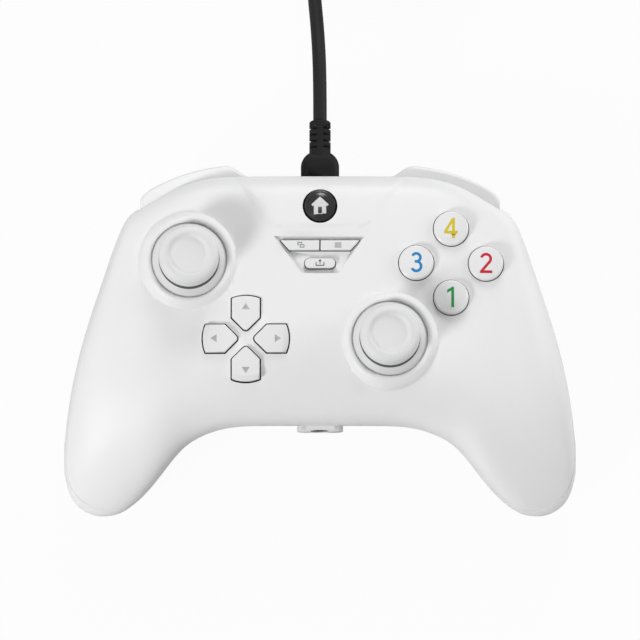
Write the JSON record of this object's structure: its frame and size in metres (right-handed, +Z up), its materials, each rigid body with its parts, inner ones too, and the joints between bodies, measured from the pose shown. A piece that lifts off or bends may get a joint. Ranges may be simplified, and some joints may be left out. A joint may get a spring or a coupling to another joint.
{
  "type": "wired game controller",
  "caption": "Wired two-grip gamepad with thumb sticks, direction keys, round face buttons, shoulder keys, triggers and a put-away cord coil.",
  "frame": {"origin": "on the table under the middle of the pad without its cord", "axes": "+X to the player's right, +Y away from the player towards the cord, +Z up, the pad lying on its back"},
  "size_m": [0.1534, 0.3099, 0.0557],
  "materials": {
    "shell": "matt white, fine grain",
    "bumper": "satin white",
    "trigger": "matt white, textured",
    "key_gloss": "glossy white",
    "key_satin": "satin white",
    "key_black": "glossy black",
    "stick_rubber": "matt white rubber",
    "steel": "plated steel",
    "inner_plastic": "black",
    "frame_plastic": "dark grey",
    "board": "green board",
    "dome_rubber": "grey silicone",
    "jack": "black",
    "cord_jacket": "matt black"
  },
  "bodies": {
    "casing": {"top_shell": "shell", "bottom_shell": "shell", "case_screws": "steel", "main_board": "board", "board_screws": "steel", "bumper_bridge": "bumper", "trigger_frame": "frame_plastic", "trigger_pins": "steel", "trigger_springs": "steel", "trigger_sensors": "inner_plastic", "bumper_switches": "inner_plastic", "left_stick_module": "inner_plastic", "right_stick_module": "inner_plastic", "left_rumble_motor": "steel", "right_rumble_motor": "steel", "face_button_membrane": "dome_rubber", "dpad_membrane": "dome_rubber", "centre_membrane": "dome_rubber", "cord_port": "steel", "headset_jack": "jack", "cord_plug": "steel", "plug_boot": "cord_jacket", "cable_lead": "cord_jacket", "cable_coil": "cord_jacket", "cable_tail": "cord_jacket", "cable_tie": "cord_jacket", "far_plug_boot": "cord_jacket", "far_plug": "steel"},
    "left_yoke": {"left_stick_yoke": "inner_plastic"},
    "left_pivot": {"left_stick_pivot": "inner_plastic"},
    "left_stick": {"left_stick_cap": "stick_rubber", "left_stick_shaft": "steel"},
    "right_yoke": {"right_stick_yoke": "inner_plastic"},
    "right_pivot": {"right_stick_pivot": "inner_plastic"},
    "right_stick": {"right_stick_cap": "stick_rubber", "right_stick_shaft": "steel"},
    "face_button_top": {"face_button_top": "key_gloss"},
    "face_button_left": {"face_button_left": "key_gloss"},
    "face_button_right": {"face_button_right": "key_gloss"},
    "face_button_bottom": {"face_button_bottom": "key_gloss"},
    "dpad_up": {"dpad_up": "key_satin"},
    "dpad_left": {"dpad_left": "key_satin"},
    "dpad_down": {"dpad_down": "key_satin"},
    "dpad_right": {"dpad_right": "key_satin"},
    "home_button": {"home_button": "key_black"},
    "view_button": {"view_button": "key_satin"},
    "menu_button": {"menu_button": "key_satin"},
    "share_button": {"share_button": "key_satin"},
    "left_bumper": {"left_bumper": "bumper"},
    "right_bumper": {"right_bumper": "bumper"},
    "left_trigger": {"left_trigger": "trigger"},
    "right_trigger": {"right_trigger": "trigger"},
    "left_rumble_weight": {"left_rumble_weight": "steel"},
    "right_rumble_weight": {"right_rumble_weight": "steel"}
  },
  "joints": [
    {"name": "left_stick_forward", "type": "hinge", "parent": "casing", "child": "left_yoke", "pos_m": [-0.039, 0.0201, 0.03423], "axis": [1, 0, 0], "range_deg": [-20, 20], "stiffness_Nm_per_rad": 0.05},
    {"name": "left_stick_sideways", "type": "hinge", "parent": "left_yoke", "child": "left_pivot", "pos_m": [-0.039, 0.0201, 0.03423], "axis": [0, 1, 0], "range_deg": [-20, 20], "stiffness_Nm_per_rad": 0.05},
    {"name": "left_stick_click", "type": "slide", "parent": "left_pivot", "child": "left_stick", "axis": [0, 0, -1], "range_m": [0, 0.0005], "stiffness_N_per_m": 6000},
    {"name": "right_stick_forward", "type": "hinge", "parent": "casing", "child": "right_yoke", "pos_m": [0.0208, -0.0035, 0.03423], "axis": [1, 0, 0], "range_deg": [-20, 20], "stiffness_Nm_per_rad": 0.05},
    {"name": "right_stick_sideways", "type": "hinge", "parent": "right_yoke", "child": "right_pivot", "pos_m": [0.0208, -0.0035, 0.03423], "axis": [0, 1, 0], "range_deg": [-20, 20], "stiffness_Nm_per_rad": 0.05},
    {"name": "right_stick_click", "type": "slide", "parent": "right_pivot", "child": "right_stick", "axis": [0, 0, -1], "range_m": [0, 0.0005], "stiffness_N_per_m": 6000},
    {"name": "face_button_top_press", "type": "slide", "parent": "casing", "child": "face_button_top", "axis": [0, 0, -1], "range_m": [0, 0.0012], "stiffness_N_per_m": 900, "deforming": ["face_button_membrane"]},
    {"name": "face_button_left_press", "type": "slide", "parent": "casing", "child": "face_button_left", "axis": [0, 0, -1], "range_m": [0, 0.0012], "stiffness_N_per_m": 900, "deforming": ["face_button_membrane"]},
    {"name": "face_button_right_press", "type": "slide", "parent": "casing", "child": "face_button_right", "axis": [0, 0, -1], "range_m": [0, 0.0012], "stiffness_N_per_m": 900, "deforming": ["face_button_membrane"]},
    {"name": "face_button_bottom_press", "type": "slide", "parent": "casing", "child": "face_button_bottom", "axis": [0, 0, -1], "range_m": [0, 0.0012], "stiffness_N_per_m": 900, "deforming": ["face_button_membrane"]},
    {"name": "dpad_up_press", "type": "slide", "parent": "casing", "child": "dpad_up", "axis": [0, 0, -1], "range_m": [0, 0.0008], "stiffness_N_per_m": 1500, "deforming": ["dpad_membrane"]},
    {"name": "dpad_left_press", "type": "slide", "parent": "casing", "child": "dpad_left", "axis": [0, 0, -1], "range_m": [0, 0.0008], "stiffness_N_per_m": 1500, "deforming": ["dpad_membrane"]},
    {"name": "dpad_down_press", "type": "slide", "parent": "casing", "child": "dpad_down", "axis": [0, 0, -1], "range_m": [0, 0.0008], "stiffness_N_per_m": 1500, "deforming": ["dpad_membrane"]},
    {"name": "dpad_right_press", "type": "slide", "parent": "casing", "child": "dpad_right", "axis": [0, 0, -1], "range_m": [0, 0.0008], "stiffness_N_per_m": 1500, "deforming": ["dpad_membrane"]},
    {"name": "home_button_press", "type": "slide", "parent": "casing", "child": "home_button", "axis": [0, 0, -1], "range_m": [0, 0.0008], "stiffness_N_per_m": 1500, "deforming": ["centre_membrane"]},
    {"name": "view_button_press", "type": "slide", "parent": "casing", "child": "view_button", "axis": [0, 0, -1], "range_m": [0, 0.0007], "stiffness_N_per_m": 1500, "deforming": ["centre_membrane"]},
    {"name": "menu_button_press", "type": "slide", "parent": "casing", "child": "menu_button", "axis": [0, 0, -1], "range_m": [0, 0.0007], "stiffness_N_per_m": 1500, "deforming": ["centre_membrane"]},
    {"name": "share_button_press", "type": "slide", "parent": "casing", "child": "share_button", "axis": [0, 0, -1], "range_m": [0, 0.0007], "stiffness_N_per_m": 1500, "deforming": ["centre_membrane"]},
    {"name": "left_bumper_press", "type": "hinge", "parent": "casing", "child": "left_bumper", "pos_m": [-0.0212, 0.0414, 0.028], "axis": [0, 0, 1], "range_deg": [0, 1.5], "stiffness_Nm_per_rad": 1.6},
    {"name": "right_bumper_press", "type": "hinge", "parent": "casing", "child": "right_bumper", "pos_m": [0.0212, 0.0414, 0.028], "axis": [0, 0, -1], "range_deg": [0, 1.5], "stiffness_Nm_per_rad": 1.6},
    {"name": "left_trigger_pull", "type": "hinge", "parent": "casing", "child": "left_trigger", "pos_m": [-0.036, 0.0369, 0.0206], "axis": [-0.9397, -0.342, 0], "range_deg": [0, 18], "stiffness_Nm_per_rad": 0.04, "springref_deg": -11.46},
    {"name": "right_trigger_pull", "type": "hinge", "parent": "casing", "child": "right_trigger", "pos_m": [0.036, 0.0369, 0.0206], "axis": [-0.9397, 0.342, 0], "range_deg": [0, 18], "stiffness_Nm_per_rad": 0.04, "springref_deg": -11.46},
    {"name": "left_rumble_spin", "type": "hinge", "parent": "casing", "child": "left_rumble_weight", "pos_m": [-0.0605, -0.03, 0.0183], "axis": [0, 1, 0], "continuous": true},
    {"name": "right_rumble_spin", "type": "hinge", "parent": "casing", "child": "right_rumble_weight", "pos_m": [0.0605, -0.03, 0.0183], "axis": [0, 1, 0], "continuous": true}
  ]
}
